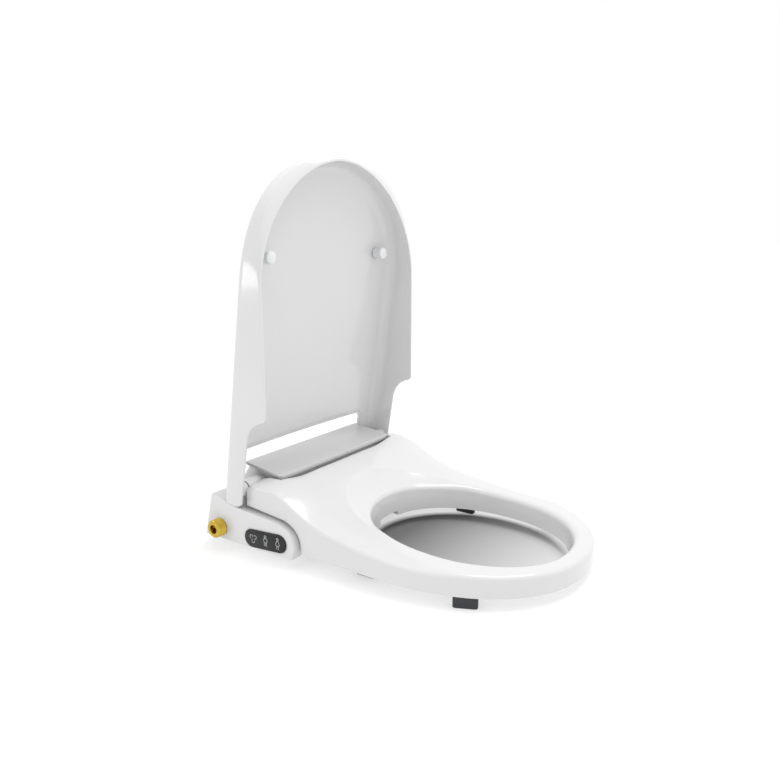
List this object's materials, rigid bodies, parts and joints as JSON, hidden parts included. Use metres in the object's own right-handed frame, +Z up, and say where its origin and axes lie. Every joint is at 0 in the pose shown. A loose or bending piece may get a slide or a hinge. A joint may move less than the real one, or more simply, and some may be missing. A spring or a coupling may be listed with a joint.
{
  "type": "electric bidet seat",
  "caption": "Electric bidet seat with a deep soft-close lid, heated seat ring, side key panel, brass inlet, retracting wands and dryer, on a quick-release plate.",
  "frame": {"origin": "on the toilet bowl's rim, midway between the two fixing bolt slots, on the underside of the mounting pad", "axes": "+X to the user's left, -Y to the front of the seat, +Z up"},
  "size_m": [0.395, 0.524, 0.563],
  "materials": {
    "white_plastic": "glossy moulded ABS",
    "grey_plastic": "moulded POM and ABS",
    "black_panel": "gloss black key panel",
    "black_plastic": "moulded black nylon",
    "rubber": "soft dark grey rubber",
    "brass": "turned and knurled",
    "steel": "stainless",
    "board": "green circuit board",
    "hose": "silicone hose"
  },
  "bodies": {
    "mount": {"mounting_plate": "grey_plastic", "mounting_pad": "rubber"},
    "base": {"main_housing": "white_plastic", "chassis_tray": "white_plastic", "tray_screw_1": "steel", "tray_screw_2": "steel", "tray_screw_3": "steel", "tray_screw_4": "steel", "cover_plate": "white_plastic", "control_panel": "black_panel", "panel_board": "board", "inlet_fitting": "brass", "solenoid_valve": "grey_plastic", "water_heater": "steel", "diverter_valve": "grey_plastic", "diverter_motor": "steel", "feed_hose": "hose", "heater_hose": "hose", "front_nozzle_motor": "steel", "rear_nozzle_motor": "steel", "nozzle_guide": "grey_plastic", "fan_scroll": "grey_plastic", "fan_motor": "steel", "dryer_duct": "grey_plastic", "dryer_heater": "steel", "control_board": "board", "power_module": "black_plastic", "cord_gland": "rubber", "guide_rail_left": "grey_plastic", "guide_rail_right": "grey_plastic", "hinge_pin_left": "steel", "hinge_pin_right": "steel", "lid_damper": "black_plastic", "seat_damper": "black_plastic"},
    "lid": {"lid_shell": "white_plastic", "lid_bumper_left": "rubber", "lid_bumper_right": "rubber", "lid_bush_left": "grey_plastic", "lid_bush_right": "grey_plastic"},
    "seat": {"seat_top_shell": "white_plastic", "seat_bottom_shell": "white_plastic", "seat_heater_foil": "steel", "seat_bush_left": "grey_plastic", "seat_bush_right": "grey_plastic", "seat_foot_front_left": "rubber", "seat_foot_front_right": "rubber", "seat_foot_rear_left": "rubber", "seat_foot_rear_right": "rubber"},
    "front_wand": {"front_nozzle_wand": "steel", "front_nozzle_rack": "grey_plastic"},
    "rear_wand": {"rear_nozzle_wand": "steel", "rear_nozzle_rack": "grey_plastic"},
    "front_pinion": {"front_drive_pinion": "grey_plastic"},
    "rear_pinion": {"rear_drive_pinion": "grey_plastic"},
    "dryer_fan": {"fan_wheel": "black_plastic"},
    "release": {"release_button": "white_plastic", "release_latch": "grey_plastic"}
  },
  "joints": [
    {"name": "lid_hinge", "type": "hinge", "parent": "base", "child": "lid", "pos_m": [0, -0.003, 0.091], "axis": [1, 0, 0], "range_deg": [0, 90]},
    {"name": "seat_hinge", "type": "hinge", "parent": "base", "child": "seat", "pos_m": [0, -0.003, 0.091], "axis": [1, 0, 0], "range_deg": [-88, 0]},
    {"name": "base_slide_off", "type": "slide", "parent": "mount", "child": "base", "axis": [0, -1, 0], "range_m": [0, 0.03]},
    {"name": "front_wand_slide", "type": "slide", "parent": "base", "child": "front_wand", "axis": [0, -0.9511, -0.309], "range_m": [0, 0.058]},
    {"name": "rear_wand_slide", "type": "slide", "parent": "base", "child": "rear_wand", "axis": [0, -0.9511, -0.309], "range_m": [0, 0.058]},
    {"name": "front_pinion_spin", "type": "hinge", "parent": "base", "child": "front_pinion", "pos_m": [-0.013, -0.0305, 0.07017], "axis": [1, 0, 0], "range_deg": [-470, 0]},
    {"name": "rear_pinion_spin", "type": "hinge", "parent": "base", "child": "rear_pinion", "pos_m": [0.013, -0.0305, 0.07017], "axis": [1, 0, 0], "range_deg": [-470, 0]},
    {"name": "dryer_fan_spin", "type": "hinge", "parent": "base", "child": "dryer_fan", "pos_m": [0.099, 0.002, 0.043], "axis": [1, 0, 0], "continuous": true},
    {"name": "release_button_push", "type": "slide", "parent": "base", "child": "release", "axis": [-1, 0, 0], "range_m": [0, 0.003], "stiffness_N_per_m": 600}
  ],
  "couplings": [
    {"joint": "front_pinion_spin", "follows": "front_wand_slide", "rad_per_m": -138.89},
    {"joint": "rear_pinion_spin", "follows": "rear_wand_slide", "rad_per_m": -138.89}
  ]
}
